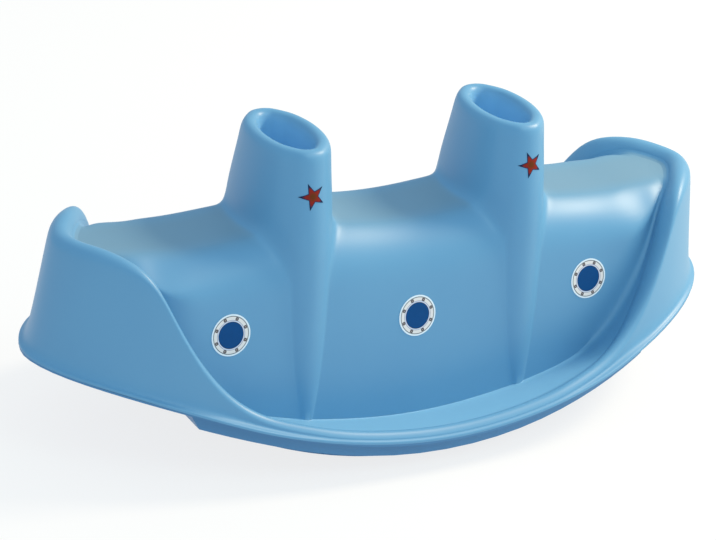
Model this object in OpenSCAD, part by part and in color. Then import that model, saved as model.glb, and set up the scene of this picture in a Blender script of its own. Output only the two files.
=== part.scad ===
// Rocking boat toy: a moulded hull shell with a bench seat, two foot wells and two
// funnel-shaped hand holds, screwed to a curved rocker base and dressed with stickers.
// Millimetres, +Z up, +X along the boat, origin on the floor under its middle.

/* [Hull outline] */
// Overall length over the lip
hull_length = 1060; // [900:5:1200]
// Overall width over the lip
hull_width = 483; // [430:1:540]
// How far the flanks run before they close in on the ends
end_fullness = 2.33; // [2:0.01:2.8]
// How round the flanks are
flank_fullness = 1.75; // [1.5:0.01:2]
// Thickness of the moulded wall
wall = 4; // [3:0.5:6]

/* [Lip] */
// Width of the lip outside the hull wall
lip_width = 11; // [6:0.5:16]
// Height of the lip's underside at the middle
lip_height = 47; // [42:1:60]
// How much higher the lip is at the ends
lip_rise = 93; // [70:1:110]
// Share of the rise that flattens out towards the ends
lip_hook = 0.89; // [0.5:0.01:1]

/* [Rim] */
// Rim height above the lip at the middle
rim_low = 13; // [9:0.5:20]
// Height of the rim above the seat at the very ends
end_rim = 27; // [15:1:45]
// Length over which the rim sweeps up
sweep_run = 164; // [140:1:180]
// Distance from the top of the sweep to the end of the hull
sweep_setback = 116; // [100:1:130]
// How sharply the sweep steepens
sweep_power = 2.5; // [2:0.1:3]
// How softly the sweep runs into the end rim
sweep_blend = 25; // [5:1:40]
// Width over the rolled rim
rim_width = 18; // [16:0.5:24]
// Step down on the inside of the rolled rim
rim_bead = 5; // [3:0.5:8]
// Draft of the hull flanks, degrees
flank_draft = 5.5; // [3:0.1:8]
// Draft of the hull ends, degrees
end_draft = 7.5; // [4:0.1:10]
// Draft of the rim's inner face, degrees
rim_inner_draft = 15; // [5:1:25]

/* [Bench] */
// Height of the seat above the floor
seat_height = 285; // [270:1:300]
// Bench width at the seat, before its edges are rounded
bench_width = 168; // [150:1:180]
// Draft of the bench sides, degrees
bench_draft = 12; // [6:0.5:14]
// Length of the rounding along each bench edge
bench_edge = 24; // [10:1:30]

/* [Foot wells] */
// Depth of the well floor below the lip's underside at the bench
well_depth = 22; // [14:1:24]
// How far before the rim's sweep the well floor starts to climb
well_lead = 15; // [0:1:40]
// Reach of the climb: the floor rises by distance squared over this length
well_ramp = 119; // [100:1:150]
// Length of the rounding between the well floor and the bench
well_round = 22; // [8:1:30]

/* [Funnels] */
// Distance from a funnel's middle to the start of the rim's sweep
funnel_setback = 82; // [76:1:92]
// Height of each funnel above the seat
funnel_rise = 136; // [120:1:150]
// Funnel size along the boat at the seat
funnel_length = 124; // [110:1:136]
// Funnel size across the boat at the seat
funnel_breadth = 198; // [186:1:206]
// Draft of the funnel's fore and aft faces, degrees
funnel_draft_long = 5; // [3:0.5:8]
// Draft of the funnel's outer edges, degrees
funnel_draft_cross = 8.4; // [7:0.1:9]
// Radius of the rolled funnel rim
funnel_rim = 12; // [8:0.5:14]
// Pocket size along the boat at the mouth
mouth_length = 58; // [50:1:64]
// Pocket size across the boat at the mouth
mouth_breadth = 118; // [100:1:124]
// Depth of the pocket
pocket_depth = 95; // [60:1:110]

/* [Rocker base] */
// Radius of the rocking sole
rocker_radius = 780; // [700:5:900]
// Depth of the flat land at the middle of the sole
land_depth = 1; // [0.5:0.1:2]
// Length of the tray and the rocker where the rocker leaves the tray
rocker_length = 700; // [640:5:740]
// Slant of the rocker's ends, degrees
rocker_slant = 29; // [10:1:40]
// How far the rocker stands in from the lip
rocker_inset = 57; // [48:1:66]
// Thickness of the rocker's walls and sole
base_wall = 4; // [3:0.5:5]
// Thickness of the plate under the lip
plate_thickness = 3; // [2:0.5:4]
// How far the tray under the plate stands in from the lip
tray_inset = 16; // [12:1:24]
// Depth of the tray below the lip
tray_drop = 25; // [18:1:28]

/* [Stickers] */
// Diameter of a porthole sticker
porthole_d = 58; // [40:1:64]
// Distance from the start of the rim's sweep to an outer porthole
porthole_reach = 34; // [26:1:38]
// Height of the outer portholes above the foot of the bench
porthole_rise = 89; // [80:1:105]
// Height of the middle portholes above the foot of the bench
middle_porthole_rise = 143; // [80:1:180]
// Size of a star across its points
star_size = 34; // [24:1:40]
// Depth of the stars below the funnel's top
star_drop = 60; // [40:1:90]
// Thickness of the printed film
film = 0.6; // [0.4:0.1:1]

/* [Screws] */
// Distance of the inner screws from the middle, along the boat
inner_screw_x = 100; // [80:1:120]
// Distance of the outer screws from the middle, along the boat
outer_screw_x = 215; // [190:1:230]
// Distance of a screw from the rocker's wall, across the boat
screw_gap = 12; // [11:0.5:16]
// Diameter of the screw shank
screw_d = 5; // [4:0.5:6]
// Diameter of the screw head
screw_head_d = 9; // [8:0.5:10]
// Height of the screw head
screw_head_h = 3; // [2:0.5:4]
// Length of the shank
screw_length = 14; // [10:1:14]
// Diameter of the posts and bosses that take the screws
boss_d = 15; // [13:0.5:18]
// Height of a boss below the well floor
boss_height = 16; // [14:0.5:18]

/* [Hidden] */

// Clearances between pieces
seat_gap = 0.2;
film_gap = 0.1;
hole_gap = 0.3;

// Mesh of the moulded surfaces
side_steps = 15;
end_steps = 8;
step_power = 1.5;
round_fn = 24;
funnel_fn = 44;
disc_fn = 96;
sole_fn = 360;
roll_step = 30;
edge_points = 2;
inner_points = 3;
round_points = 4;

hull_colour = "#5b97c4";
disc_colour = "#02468a";
star_colour = "#a8321f";
screw_colour = "silver";

half_length = hull_length / 2;
half_width = hull_width / 2;
bench_half = bench_width / 2;
rim_high = seat_height + end_rim - lip_height - lip_rise;
sweep_end = half_length - sweep_setback;
sweep_start = sweep_end - sweep_run;
well_start = sweep_start - well_lead;
funnel_place = sweep_start - funnel_setback;
porthole_place = sweep_start + porthole_reach;
// The end fans of the hull meet here on the centre line
end_reach = 105;
fan_x = half_length - end_reach;
// Depth below the lip at which the raw hull volumes are closed
raw_skirt = 60;
// Shares of the seat's end at which its section has a point
seat_shares = [0.3, 0.55];
raw_step = 2;
// Height of the thin slices that funnel shapes are stretched over
slice_h = 0.01;
// Least cosine between a station's ray and the outline's normal
least_cosine = 0.6;
// Most of a side that the rounding of its corner may take
corner_share = 0.45;
recess_width = 1;
recess_depth = 1.5;
// Size of a star's inner corners against its points
star_waist = 0.4;
lip_edge = 1.5;
foot_round = 5;
rim_round = rim_width / 2;
bead_round = 6;
// Least width of the well floor where it runs out
floor_least = 6;
// Least width of the bench edge where its side runs out
edge_least = 0.6 * bench_edge;

// Plan outline of the lip, half width at x
function lip_y(x) =
    half_width * pow(max(0, 1 - pow(abs(x) / half_length, end_fullness)), 1 / flank_fullness);

// Inward unit normal of the lip outline at x, on the +x +y quarter
function lip_normal(x) =
    let (
        u = abs(x) / half_length,
        v = lip_y(x) / half_width,
        g = [
            end_fullness * pow(u, end_fullness - 1) / half_length,
            flank_fullness * pow(v, flank_fullness - 1) / half_width
        ]
    ) -g / norm(g);

// Underside of the lip at x
function lip_z(x) =
    let (u = pow(x / half_length, 2))
    lip_height + lip_rise * ((1 + lip_hook) * u - lip_hook * u * u);

// Smaller of two heights with a soft change between them
function soft_min(a, b, k) =
    let (h = max(k - abs(a - b), 0) / k)
    min(a, b) - h * h * k / 4;

// Crest of the rolled rim at x
function rim_z(x) =
    let (climb = pow(max(0, (abs(x) - sweep_start) / (sweep_end - sweep_start)), sweep_power))
    lip_z(x) + soft_min(rim_low + (rim_high - rim_low) * climb, rim_high, sweep_blend);

// Half width of the bench at height z
function bench_y(z) = bench_half + (seat_height - z) * tan(bench_draft);

// Foot of the bench side at x
function well_z(x) =
    min(seat_height,
        lip_z(x) - well_depth + pow(max(0, abs(x) - well_start), 2) / well_ramp);

// Sole of the rocker at x
function sole_z(x) = max(0, rocker_radius - sqrt(pow(rocker_radius, 2) - x * x) - land_depth);

// Stations along one quarter of the lip, finer towards the sweep, then round the end
quarter = concat(
    [for (i = [0 : side_steps]) fan_x * (1 - pow(1 - i / side_steps, step_power))],
    [for (i = [1 : end_steps]) fan_x + (half_length - fan_x) * sin(90 * i / end_steps)]
);
last = len(quarter) - 1;

// All stations round the hull: signed x, side and place on the quarter
stations = concat(
    [for (i = [0 : last]) [quarter[i], -1, i]],
    [for (i = [last - 1 : -1 : 0]) [quarter[i], 1, i]],
    [for (i = [1 : last]) [-quarter[i], 1, i]],
    [for (i = [last - 1 : -1 : 1]) [-quarter[i], -1, i]]
);
count = len(stations);

function sign_x(s) = s[0] < 0 ? -1 : 1;
function edge_point(s) = [s[0], s[1] * lip_y(s[0])];
function spine_point(s) = [sign_x(s) * min(abs(s[0]), fan_x), 0];
function ray(s) = spine_point(s) - edge_point(s);
function lip_inward(s) = let (n = lip_normal(s[0])) [sign_x(s) * n[0], s[1] * n[1]];

// How much longer an offset is along the ray than square to the outline
function stretch(s) = 1 / max(least_cosine, lip_inward(s) * ray(s) / norm(ray(s)));

// Draft of the outer wall at x
function wall_draft(x) =
    let (t = max(0, (abs(x) - fan_x) / (half_length - fan_x)))
    flank_draft + (end_draft - flank_draft) * t;

// Corners of the hull's section along a station's ray: distance in from the lip, height
function corners(s) =
    let (
        x = s[0],
        k = stretch(s),
        reach = norm(ray(s)),
        lip_top = lip_z(x) + wall,
        crest = rim_z(x),
        crest_out = k * (lip_width + (crest - lip_top) * tan(wall_draft(x))),
        crest_in = crest_out + k * rim_width,
        base_z = min(crest - rim_bead, seat_height),
        base_in = crest_in + k * (crest - base_z) * tan(rim_inner_draft),
        on_side = s[2] <= side_steps,
        foot_z = on_side ? well_z(x) : seat_height,
        rest = reach - base_in,
        foot_in = on_side
            ? max(reach - bench_y(foot_z), base_in + floor_least)
            : base_in + seat_shares[0] * rest,
        bench_in = on_side
            ? max(reach - bench_half, foot_in + edge_least)
            : base_in + seat_shares[1] * rest
    )
    [
        [0, lip_z(x) - raw_skirt],
        [0, lip_top],
        [k * lip_width, lip_top],
        [crest_out, crest],
        [crest_in, crest],
        [base_in, base_z],
        [foot_in, foot_z],
        [bench_in, seat_height],
        [reach, seat_height]
    ];

function unit(v) = v / norm(v);
function left_of(v) = [-v[1], v[0]];

// Corners moved in by the wall thickness
function inner_corners(c) =
    let (
        moved = [
            for (i = [2 : len(c) - 2])
            let (
                n1 = left_of(unit(c[i] - c[i - 1])),
                n2 = left_of(unit(c[i + 1] - c[i]))
            ) c[i] - wall * (n1 + n2) / (1 + n1 * n2)
        ]
    )
    concat(
        [[-raw_step, c[0][1] - raw_step], [-raw_step, moved[0][1]]],
        moved,
        [c[len(c) - 1] - [0, wall]]
    );

// A corner rounded by a short parabola that starts and ends within its two sides
function rounded(before, at, after, reach, n) =
    let (
        r = min(reach, corner_share * norm(before - at), corner_share * norm(after - at)),
        from = at + unit(before - at) * r,
        to = at + unit(after - at) * r
    )
    [
        for (i = [0 : n - 1])
        let (u = i / (n - 1))
        pow(1 - u, 2) * from + 2 * u * (1 - u) * at + u * u * to
    ];

// Reach of each corner's rounding, and its points on the outside and on the inside
roundings = [
    [lip_edge, edge_points, edge_points],
    [foot_round, edge_points, edge_points],
    [rim_round, round_points, inner_points],
    [rim_round, round_points, inner_points],
    [bead_round, edge_points, edge_points],
    [well_round, inner_points, inner_points],
    [bench_edge, round_points, inner_points]
];

// Section of the hull: its first corner, then every corner rounded, without the centre line
function section(c, inner) = concat(
    [c[0]],
    [
        for (i = [1 : len(c) - 2])
        let (r = roundings[i - 1])
        each rounded(c[i - 1], c[i], c[i + 1], r[0], inner ? r[2] : r[1])
    ]
);

function in_space(s, p) = let (q = edge_point(s) + unit(ray(s)) * p[0]) [q[0], q[1], p[1]];

// Place of a station's centre-line point among those of the spine
function spine_index(s) = side_steps + sign_x(s) * min(s[2], side_steps);
spine_xs = [for (i = [-side_steps : side_steps]) (i < 0 ? -1 : 1) * quarter[abs(i)]];

// Closed volume under the hull's skin: rings round the hull, joined to two spines
module skin_volume(inner) {
    chain = [for (s = stations) let (c = corners(s)) section(inner ? inner_corners(c) : c, inner)];
    rows = len(chain[0]);
    top_z = seat_height - (inner ? wall : 0);
    drop = raw_skirt + (inner ? raw_step : 0);
    spines = len(spine_xs);
    top_start = rows * count;
    low_start = top_start + spines;
    points = concat(
        [for (r = [0 : rows - 1]) for (i = [0 : count - 1]) in_space(stations[i], chain[i][r])],
        [for (x = spine_xs) [x, 0, top_z]],
        [for (x = spine_xs) [x, 0, lip_z(x) - drop]]
    );
    side_faces = [
        for (r = [0 : rows - 2]) for (i = [0 : count - 1])
        let (j = (i + 1) % count, p = r * count, q = p + count)
        each [[p + i, q + i, q + j], [p + i, q + j, p + j]]
    ];
    top_faces = [
        for (i = [0 : count - 1])
        let (
            j = (i + 1) % count,
            p = (rows - 1) * count,
            m = top_start + spine_index(stations[i]),
            n = top_start + spine_index(stations[j])
        )
        each m == n ? [[p + i, m, p + j]] : [[p + i, m, n], [p + i, n, p + j]]
    ];
    low_faces = [
        for (i = [0 : count - 1])
        let (
            j = (i + 1) % count,
            m = low_start + spine_index(stations[i]),
            n = low_start + spine_index(stations[j])
        )
        each m == n ? [[i, j, m]] : [[i, j, n], [i, n, m]]
    ];
    polyhedron(points, concat(side_faces, top_faces, low_faces));
}

// Half sizes of a funnel at height z
function funnel_x(z) = funnel_length / 2 + (seat_height - z) * tan(funnel_draft_long);
function funnel_y(z) = funnel_breadth / 2 + (seat_height - z) * tan(funnel_draft_cross);
funnel_top = seat_height + funnel_rise;
funnel_foot = lip_z(funnel_place) - well_depth;

// Thin elliptical slice
module slice(half_x, half_y, z) {
    translate([0, 0, z])
        linear_extrude(slice_h)
            scale([half_x, half_y])
                circle(1, $fn = funnel_fn);
}

// Elliptical cone with a rolled top, moved in by the given amount
module funnel_cone(inset) {
    top = funnel_top - inset;
    roll = funnel_rim - inset;
    hull() {
        slice(funnel_x(funnel_foot) - inset, funnel_y(funnel_foot) - inset, funnel_foot - inset);
        for (a = [0 : roll_step : 90]) {
            z = top - roll + roll * sin(a);
            in = inset + roll * (1 - cos(a));
            slice(funnel_x(top - roll) - in, funnel_y(top - roll) - in, z);
        }
    }
}

// Tapered pocket in the top of a funnel, grown by the given amount
module funnel_pocket(grow) {
    taper = pocket_depth * tan(funnel_draft_long);
    half_x = mouth_length / 2 + grow;
    half_y = mouth_breadth / 2 + grow;
    hull() {
        slice(half_x, half_y, funnel_top + raw_step);
        slice(half_x, half_y, funnel_top - funnel_rim);
        slice(half_x - taper, half_y - taper, funnel_top - pocket_depth - grow);
    }
}

module at_funnels() {
    for (side = [-1, 1])
        translate([side * funnel_place, 0, 0]) children();
}

// Well floor at x and a distance in from the lip
function floor_z(x, in) = let (c = corners([x, 1, 0])) lookup(in, [c[5], c[6]]);

screw_in = rocker_inset + base_wall + screw_gap;
function post_top(x) = floor_z(x, screw_in) - wall - boss_height;

// Places where posts and bosses meet, with the height of the post there
module at_screws() {
    for (x = [inner_screw_x, outer_screw_x]) for (sx = [-1, 1]) for (sy = [-1, 1])
        let ($post_height = post_top(x) - sole_z(x))
            translate([sx * x, sy * (lip_y(x) - screw_in), post_top(x)]) children();
}

// Upper moulding: lip, flanks, rim, foot wells, bench and funnels in one shell
module hull_shell() {
    color(hull_colour) {
        difference() {
            union() {
                skin_volume(false);
                at_funnels() funnel_cone(0);
            }
            difference() {
                union() {
                    skin_volume(true);
                    at_funnels() funnel_cone(wall);
                }
                at_funnels() funnel_pocket(wall);
            }
            at_funnels() funnel_pocket(0);
        }
        difference() {
            intersection() {
                at_screws()
                    translate([0, 0, seat_gap]) cylinder(d = boss_d, h = seat_height, $fn = round_fn);
                skin_volume(false);
            }
            at_screws()
                cylinder(d = screw_d + hole_gap, h = screw_length - base_wall + hole_gap, $fn = round_fn);
        }
    }
}

// Plan outline moved in from the lip
module plan(inset) {
    polygon([for (s = stations) edge_point(s) + inset * lip_inward(s)]);
}

module upright(inset) {
    linear_extrude(hull_length) plan(inset);
}

// Side outline pulled across the boat
module across() {
    rotate([90, 0, 0])
        linear_extrude(hull_width * 2, center = true) children();
}

station_xs = concat([for (i = [last : -1 : 1]) -quarter[i]], quarter);

// Band along the lip between two depths below its underside
module lip_band(low, high) {
    polygon(concat(
        [for (x = station_xs) [x, lip_z(x) - low]],
        [for (i = [len(station_xs) - 1 : -1 : 0]) [station_xs[i], lip_z(station_xs[i]) - high]]
    ));
}

// Side outline of the rocker, moved in by the given amount and open at the top
module rocker_side(inset) {
    half = rocker_length / 2 - inset;
    join_z = lip_z(half) - tray_drop;
    low = half - join_z * tan(rocker_slant);
    high = half + join_z * tan(rocker_slant);
    intersection() {
        translate([0, rocker_radius - land_depth]) circle(rocker_radius - inset, $fn = sole_fn);
        polygon([[-low, inset], [low, inset], [high, 2 * join_z], [-high, 2 * join_z]]);
    }
}

// Step of the base: a plan outline cut to the rocker's side outline, between two depths below the lip
module base_step(plan_inset, side_inset, low, high) {
    intersection() {
        upright(plan_inset);
        across() intersection() {
            rocker_side(side_inset);
            lip_band(low, high);
        }
    }
}

// Lower moulding: plate under the lip, shallow tray and hollow rocker with screw posts
module rocker_base() {
    deepest = lip_height + lip_rise + tray_drop;
    color(hull_colour)
        difference() {
            union() {
                difference() {
                    union() {
                        intersection() {
                            upright(lip_edge);
                            across() lip_band(seat_gap, seat_gap + plate_thickness);
                        }
                        base_step(tray_inset, 0, seat_gap, tray_drop);
                        base_step(rocker_inset, 0, tray_drop - base_wall, deepest);
                    }
                    base_step(tray_inset + base_wall, base_wall, -raw_step, tray_drop - base_wall);
                    base_step(rocker_inset + base_wall, base_wall, -raw_step, deepest);
                }
                at_screws()
                    translate([0, 0, base_wall / 2 - $post_height])
                        cylinder(d = boss_d, h = $post_height - base_wall / 2, $fn = round_fn);
            }
            at_screws() {
                translate([0, 0, -base_wall - raw_skirt])
                    cylinder(d = screw_head_d + 2 * hole_gap, h = raw_skirt, $fn = round_fn);
                translate([0, 0, -raw_skirt])
                    cylinder(d = screw_d + hole_gap, h = 2 * raw_skirt, $fn = round_fn);
            }
        }
}

// Self-tapping screws driven up through the posts into the hull's bosses
module base_screws() {
    color(screw_colour)
        at_screws() translate([0, 0, -base_wall]) {
            difference() {
                translate([0, 0, -screw_head_h])
                    cylinder(d = screw_head_d, h = screw_head_h, $fn = round_fn);
                for (turn = [0, 90])
                    rotate(turn)
                        translate([-screw_d / 2, -recess_width / 2, -screw_head_h - raw_step])
                            cube([screw_d, recess_width, recess_depth + raw_step]);
            }
            cylinder(d = screw_d, h = screw_length, $fn = round_fn);
        }
}

// Printed disc on the bench side
module porthole(x, z, side) {
    color(disc_colour)
        translate([x, side * bench_y(z), z])
            rotate([-side * (90 - bench_draft), 0, 0])
                translate([0, 0, film_gap])
                    cylinder(d = porthole_d, h = film, $fn = disc_fn);
}

module outer_porthole(end, side) {
    porthole(end * porthole_place, well_z(porthole_place) + porthole_rise, side);
}

module middle_porthole(side) {
    porthole(0, well_z(0) + middle_porthole_rise, side);
}

// Five-pointed outline
module star_outline() {
    points = 5;
    polygon([
        for (i = [0 : 2 * points - 1])
        let (r = star_size / 2 * (i % 2 == 0 ? 1 : star_waist), a = 90 + i * 180 / points)
        r * [cos(a), sin(a)]
    ]);
}

// Printed star bent round the outer edge of a funnel
module star(x, side) {
    color(star_colour)
        translate([x, 0, 0])
            intersection() {
                translate([0, 0, funnel_top - star_drop])
                    rotate([90, 0, 0])
                        mirror([0, 0, side > 0 ? 1 : 0])
                            linear_extrude(funnel_breadth) star_outline();
                difference() {
                    funnel_cone(-film - film_gap);
                    funnel_cone(-film_gap);
                }
            }
}

module porthole_port_fore() { outer_porthole(1, 1); }
module porthole_port_mid() { middle_porthole(1); }
module porthole_port_aft() { outer_porthole(-1, 1); }
module porthole_starboard_fore() { outer_porthole(1, -1); }
module porthole_starboard_mid() { middle_porthole(-1); }
module porthole_starboard_aft() { outer_porthole(-1, -1); }
module star_port_fore() { star(funnel_place, 1); }
module star_port_aft() { star(-funnel_place, 1); }
module star_starboard_fore() { star(funnel_place, -1); }
module star_starboard_aft() { star(-funnel_place, -1); }

hull_shell();
rocker_base();
base_screws();
porthole_port_fore();
porthole_port_mid();
porthole_port_aft();
porthole_starboard_fore();
porthole_starboard_mid();
porthole_starboard_aft();
star_port_fore();
star_port_aft();
star_starboard_fore();
star_starboard_aft();
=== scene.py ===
"""Looks of a rocking boat toy: a moulded hull on a rocker base, dressed with printed stickers.

Metres, +Z up, +X along the boat, +Y to port, origin on the floor under the middle.
"""

import logging
import math
from contextlib import contextmanager
from dataclasses import dataclass, field
from enum import Enum, IntEnum
from typing import Any, Callable, Iterator

import bmesh
import bpy
from mathutils import Matrix, Vector


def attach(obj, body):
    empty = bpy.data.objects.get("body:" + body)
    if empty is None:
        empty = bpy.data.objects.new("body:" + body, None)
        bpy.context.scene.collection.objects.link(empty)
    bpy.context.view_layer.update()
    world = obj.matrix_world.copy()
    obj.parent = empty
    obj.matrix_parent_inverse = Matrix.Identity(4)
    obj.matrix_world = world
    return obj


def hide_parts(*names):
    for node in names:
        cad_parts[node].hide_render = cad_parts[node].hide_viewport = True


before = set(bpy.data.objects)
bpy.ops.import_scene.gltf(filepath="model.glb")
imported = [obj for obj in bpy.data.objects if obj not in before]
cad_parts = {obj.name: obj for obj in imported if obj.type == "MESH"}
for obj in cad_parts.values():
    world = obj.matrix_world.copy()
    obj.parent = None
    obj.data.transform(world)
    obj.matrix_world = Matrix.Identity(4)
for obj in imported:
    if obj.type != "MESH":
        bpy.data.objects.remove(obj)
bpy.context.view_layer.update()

log = logging.getLogger("rocking_boat")

BODY = "root"
# Width of the photograph in pixels
FRAME_WIDTH = 716
# Faces that meet at more than this angle keep a sharp edge
SHARP_ANGLE = math.radians(40)
# Turns of the four cage points over a roll, from its outer side
ROLL_TURNS = tuple(math.radians(turn) for turn in (22.5, 67.5, 112.5, 157.5))
# Numbers that a cage's vertex holds
KEYS = ("column", "row", "rail")
# Length that counts as none
TINY = 1e-9
# Places along the boat between which the bench, its foot and the rim take on their form at the ends
BENCH_SPAN = (0.285, 0.385)
WELL_SPAN = (0.235, 0.407)
RIM_SPAN = (0.244, 0.407)

# Test of a column, row and rail
Test = Callable[[int, int, int], bool]
# Values at which a mask is 0 and 1
Limits = tuple[float, float]


class Side(Enum):
    """Sides of the boat, with the sign of Y there."""

    PORT = 1
    STARBOARD = -1


class End(Enum):
    """Places along the boat, with the sign of X there."""

    FORE = 1
    MID = 0
    AFT = -1


class Rail(IntEnum):
    """Lines that run round the hull, from the seat's edge out and down to the lip."""

    SEAT_EDGE = 0
    BENCH_TOP = 1
    BENCH_HIGH = 2
    BENCH_MID = 3
    BENCH_LOW = 4
    FOOT_WALL = 5
    FOOT_FLOOR = 6
    FLOOR_OUT = 7
    BEAD_FOOT = 8
    BEAD = 9
    ROLL_IN_LOW = 10
    ROLL_IN_TOP = 11
    ROLL_OUT_TOP = 12
    ROLL_OUT_LOW = 13
    FLANK_TOP = 14
    FLANK_FOOT = 15
    LIP_FLAT = 16
    LIP_EDGE_TOP = 17
    LIP_EDGE = 18
    LIP_UNDER = 19


def soft_min(a: float, b: float, k: float) -> float:
    """Smaller of two values, with a soft change of width k between them."""
    h = max(k - abs(a - b), 0.0) / k
    return min(a, b) - h * h * k / 4


def mix(a: float, b: float, t: float) -> float:
    """Value at share t of the way from a to b."""
    return a + (b - a) * t


def smooth(t: float) -> float:
    """Smooth change from 0 to 1 as t does the same."""
    t = min(1.0, max(0.0, t))
    return t * t * (3 - 2 * t)


@dataclass(frozen=True)
class Growth:
    """Size that goes smoothly from one value to another on the way out to the boat's ends.

    Attributes:
        low: value nearer the middle.
        high: value nearer the ends.
        start: place along the boat where it leaves the first.
        end: place where it reaches the second.
    """

    low: float
    high: float
    start: float
    end: float

    def at(self, x: float) -> float:
        """Size at x, towards either end of the boat."""
        return mix(self.low, self.high, smooth((abs(x) - self.start) / (self.end - self.start)))


@dataclass(frozen=True)
class Ray:
    """Line in plan from a point of the lip towards the seat.

    Attributes:
        x: distance of the lip point from the middle, along the boat.
        start: lip point in plan.
        inward: unit direction towards the seat.
        reach: distance to the seat's middle line, or to the seat's end.
        stretch: how much longer an offset is along the ray than square to the lip.
        on_side: true on the flanks, false round the ends.
    """

    x: float
    start: Vector
    inward: Vector
    reach: float
    stretch: float
    on_side: bool


@dataclass(frozen=True)
class HullForm:
    """Sizes of the moulded hull and the lines that follow from them."""

    half_length: float = 0.530
    half_width: float = 0.2415
    # Powers of the lip's plan along and across the boat
    end_fullness: float = 2.33
    flank_fullness: float = 1.75
    # Place along the boat where the sections start to fan out round an end
    fan_x: float = 0.425
    wall: float = 0.004
    # Flare from the lip to the flank: width, height and the height's greatest share of the flank
    lip_width: Growth = Growth(0.0035, 0.011, 0.160, 0.340)
    flare_height: float = 0.016
    flare_share: float = 0.2
    # Line on top of the lip: place across the flare, rise and the rise's greatest share of the flank
    flat_place: float = 0.62
    flat_rise: float = 0.002
    flat_share: float = 0.06
    # Lip's underside: height at the middle, rise to the ends and how much it levels out there
    lip_height: float = 0.047
    lip_rise: float = 0.093
    lip_hook: float = 0.89
    # Sag of the lip's edge below its plain curve and its lift nearer the end: size, place and reach
    sag: tuple[float, float, float] = (0.003, 0.260, 0.130)
    lift: tuple[float, float, float] = (0.001, 0.440, 0.080)
    # Rounding of the lip's edge
    lip_edge: float = 0.0013
    # Rim's crest above the lip at the middle and at the ends, and its drop at the very tip
    rim_low: float = 0.013
    rim_high: float = 0.172
    tip_drop: Growth = Growth(0.0, 0.006, 0.465, half_length)
    # Power of the rim's sweep from one to the other, softness of its end, and radius of the rim's roll
    sweep_power: float = 2.5
    sweep_blend: float = 0.025
    rim_radius: Growth = Growth(0.0095, 0.0150, *RIM_SPAN)
    # Crease inside the roll: drop from the crest against the radius, step in, and step and drop of its foot
    bead_share: float = 0.72
    bead_step: float = 0.0006
    base_step: float = 0.0014
    base_drop: float = 0.0005
    # Draft of the flank, and drop from the crest to the line that keeps it straight
    draft: Growth = Growth(math.radians(5.5), math.radians(7.0), 0.360, 0.470)
    flank_drop: float = 0.018
    # Seat: height, rise to the funnels from the middle and from the ends over a reach, lift at the ends
    seat_height: float = 0.285
    seat_dish: float = 0.009
    seat_climb: float = 0.007
    climb_reach: float = 0.120
    seat_lift: Growth = Growth(0.0, 0.0045, 0.320, fan_x)
    # Half width of the bench at the seat, and that of its sides' lower part if it went on up to there
    bench_y: Growth = Growth(0.094, 0.102, *BENCH_SPAN)
    foot_y: Growth = Growth(0.084, 0.088, *BENCH_SPAN)
    bench_draft: float = math.radians(12)
    # Rounding of the bench's edge on the seat and down the side
    bench_round: Growth = Growth(0.036, 0.042, *BENCH_SPAN)
    bench_fall: Growth = Growth(0.030, 0.034, *BENCH_SPAN)
    # Foot of the bench: depth below the rim's crest, rounding and softness of its change to the seat's end
    well_depth: Growth = Growth(0.0305, 0.019, *WELL_SPAN)
    well_round: Growth = Growth(0.003, 0.016, *WELL_SPAN)
    well_blend: float = 0.012
    # Least width of the well's floor, least run of the bench's edge and rounding of the floor's outer corner
    floor_least: float = 0.006
    edge_least: float = 0.0144
    corner_round: float = 0.005
    # Greatest share of a line that the rounding of a corner takes
    round_share: float = 0.42
    # Plan of the seat's pointed end, how the bench's edge gives way to it and its rise where it meets the rim
    point_start: float = 0.375
    point_tip: float = 0.464
    point_fullness: float = 1.28
    fade: Growth = Growth(0.0, 1.0, 0.365, fan_x)
    seat_rise: float = 0.001
    # Least cosine between a ray and the lip's normal
    least_cosine: float = 0.6
    # Size of the cage that smooths to a circle, for points at every eighth of a turn
    roll_lift: float = 1.108
    # Funnels: place along the boat, half sizes at the seat's height and draft along the boat
    funnel_place: float = 0.168
    funnel_half_x: float = 0.062
    funnel_half_y: float = 0.109
    funnel_draft_x: float = math.radians(5)
    # Draft across the boat above the seat, and of the ribs below it
    funnel_draft_y: float = math.radians(12.6)
    rib_draft: float = math.radians(6.3)
    # Top of the funnels, half sizes of their mouths and depth of their pockets
    funnel_top: float = 0.417
    mouth_half_x: float = 0.029
    mouth_half_y: float = 0.059
    pocket_depth: float = 0.095
    # Enlargement of a funnel's cage that makes up for its smoothing
    funnel_lift_x: float = 1.004
    funnel_lift_y: float = 1.012

    def lip_y(self, x: float) -> float:
        """Half width of the lip at x."""
        share = max(0.0, 1 - (abs(x) / self.half_length) ** self.end_fullness)
        return self.half_width * share ** (1 / self.flank_fullness)

    def lip_normal(self, x: float) -> Vector:
        """Inward normal of the lip, on the quarter where x and y are positive.

        Args:
            x: place along the boat.

        Returns:
            The unit normal, in plan.
        """
        u = abs(x) / self.half_length
        v = self.lip_y(x) / self.half_width
        slope_x = self.end_fullness * u ** (self.end_fullness - 1) / self.half_length
        slope_y = self.flank_fullness * v ** (self.flank_fullness - 1) / self.half_width
        return -Vector((slope_x, slope_y)).normalized()

    def lip_z(self, x: float) -> float:
        """Underside of the lip at x."""
        u = (x / self.half_length) ** 2
        return self.lip_height + self.lip_rise * ((1 + self.lip_hook) * u - self.lip_hook * u * u)

    def lip_edge_z(self, x: float) -> float:
        """Height of the lip's outer edge, on its underside.

        Args:
            x: place along the boat.

        Returns:
            The height.
        """
        bumps = (self.sag, self.lift)
        sag, lift = (size * smooth(1 - abs(abs(x) - place) / reach) for size, place, reach in bumps)
        return self.lip_z(x) - sag + lift

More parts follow.
